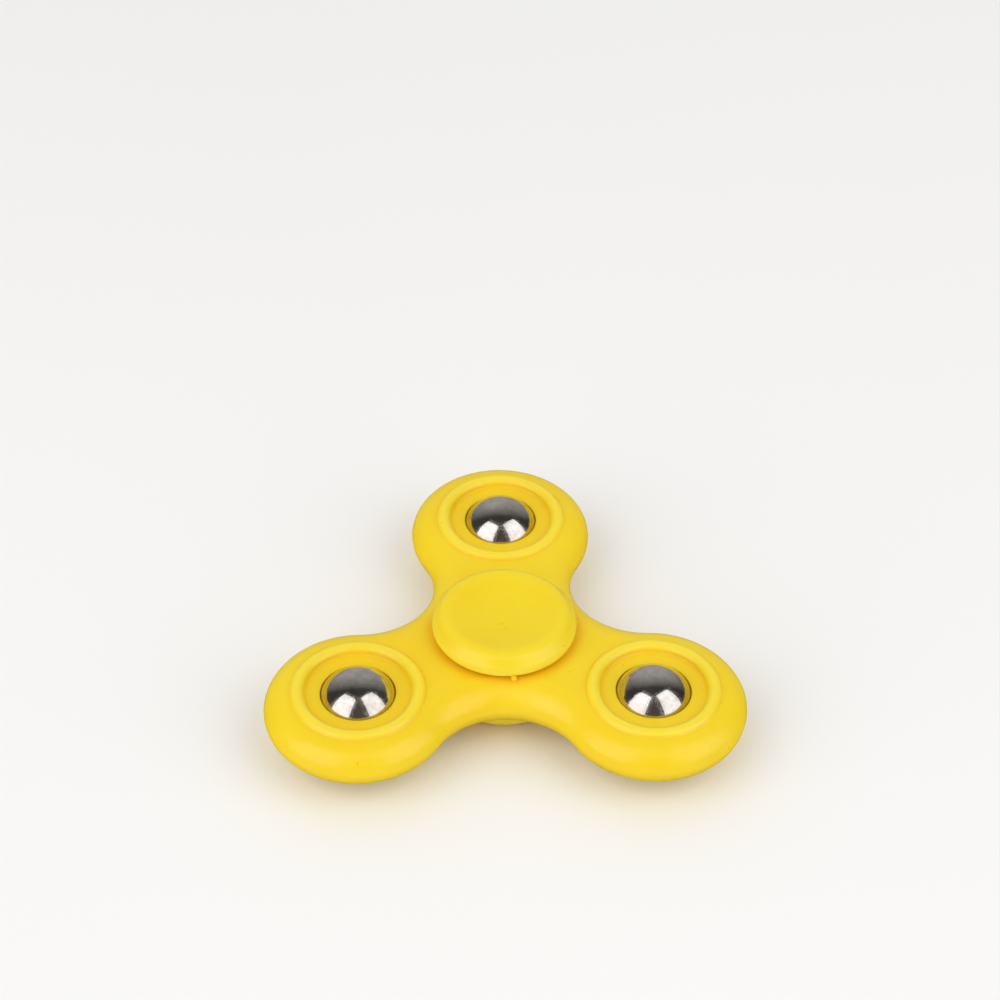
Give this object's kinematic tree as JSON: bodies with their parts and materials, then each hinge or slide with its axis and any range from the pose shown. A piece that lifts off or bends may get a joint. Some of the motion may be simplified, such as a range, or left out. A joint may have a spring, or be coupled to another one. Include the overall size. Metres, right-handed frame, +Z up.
{
  "type": "fidget spinner",
  "caption": "Lobed plastic spinner that turns about finger caps on a central ball bearing, weighted by a steel ball in each arm.",
  "frame": {"origin": "centre of the ball bearing, on the spin axis and in the seam plane between the two shells", "axes": "+Z up along the spin axis, +Y along one arm, +X across the other two arms"},
  "size_m": [0.0768, 0.0705, 0.016],
  "materials": {
    "shell_plastic": "satin moulded ABS, yellow",
    "cap_plastic": "satin moulded ABS, yellow",
    "weight_steel": "polished bearing steel with light scratches",
    "ring_steel": "ground",
    "bearing_ball_steel": "polished",
    "pressed_steel": "cold-rolled strip"
  },
  "bodies": {
    "hub": {"upper_cap": "cap_plastic", "lower_cap": "cap_plastic", "bearing_inner_ring": "ring_steel"},
    "rotor": {"upper_shell": "shell_plastic", "lower_shell": "shell_plastic", "weight_ball_1": "weight_steel", "weight_ball_2": "weight_steel", "weight_ball_3": "weight_steel", "bearing_outer_ring": "ring_steel", "shield_upper": "pressed_steel", "shield_lower": "pressed_steel"},
    "cage": {"cage_upper_half": "pressed_steel", "cage_lower_half": "pressed_steel", "cage_rivets": "pressed_steel"},
    "rolling_ball_1": {"bearing_ball_1": "bearing_ball_steel"},
    "rolling_ball_2": {"bearing_ball_2": "bearing_ball_steel"},
    "rolling_ball_3": {"bearing_ball_3": "bearing_ball_steel"},
    "rolling_ball_4": {"bearing_ball_4": "bearing_ball_steel"},
    "rolling_ball_5": {"bearing_ball_5": "bearing_ball_steel"},
    "rolling_ball_6": {"bearing_ball_6": "bearing_ball_steel"},
    "rolling_ball_7": {"bearing_ball_7": "bearing_ball_steel"}
  },
  "joints": [
    {"name": "rotor_spin", "type": "hinge", "parent": "hub", "child": "rotor", "pos_m": [0, 0, 0], "axis": [0, 0, 1], "continuous": true},
    {"name": "cage_orbit", "type": "hinge", "parent": "hub", "child": "cage", "pos_m": [0, 0, 0], "axis": [0, 0, 1], "continuous": true},
    {"name": "ball_1_roll", "type": "hinge", "parent": "cage", "child": "rolling_ball_1", "pos_m": [0, 0.0075, 0], "axis": [0, 0, 1], "continuous": true},
    {"name": "ball_2_roll", "type": "hinge", "parent": "cage", "child": "rolling_ball_2", "pos_m": [-0.00586, 0.00468, 0], "axis": [0, 0, 1], "continuous": true},
    {"name": "ball_3_roll", "type": "hinge", "parent": "cage", "child": "rolling_ball_3", "pos_m": [-0.00731, -0.00167, 0], "axis": [0, 0, 1], "continuous": true},
    {"name": "ball_4_roll", "type": "hinge", "parent": "cage", "child": "rolling_ball_4", "pos_m": [-0.00325, -0.00676, 0], "axis": [0, 0, 1], "continuous": true},
    {"name": "ball_5_roll", "type": "hinge", "parent": "cage", "child": "rolling_ball_5", "pos_m": [0.00325, -0.00676, 0], "axis": [0, 0, 1], "continuous": true},
    {"name": "ball_6_roll", "type": "hinge", "parent": "cage", "child": "rolling_ball_6", "pos_m": [0.00731, -0.00167, 0], "axis": [0, 0, 1], "continuous": true},
    {"name": "ball_7_roll", "type": "hinge", "parent": "cage", "child": "rolling_ball_7", "pos_m": [0.00586, 0.00468, 0], "axis": [0, 0, 1], "continuous": true}
  ],
  "couplings": [
    {"joint": "cage_orbit", "follows": "rotor_spin", "ratio": 0.6323},
    {"joint": "ball_1_roll", "follows": "rotor_spin", "ratio": 1.7578},
    {"joint": "ball_2_roll", "follows": "rotor_spin", "ratio": 1.7578},
    {"joint": "ball_3_roll", "follows": "rotor_spin", "ratio": 1.7578},
    {"joint": "ball_4_roll", "follows": "rotor_spin", "ratio": 1.7578},
    {"joint": "ball_5_roll", "follows": "rotor_spin", "ratio": 1.7578},
    {"joint": "ball_6_roll", "follows": "rotor_spin", "ratio": 1.7578},
    {"joint": "ball_7_roll", "follows": "rotor_spin", "ratio": 1.7578}
  ]
}
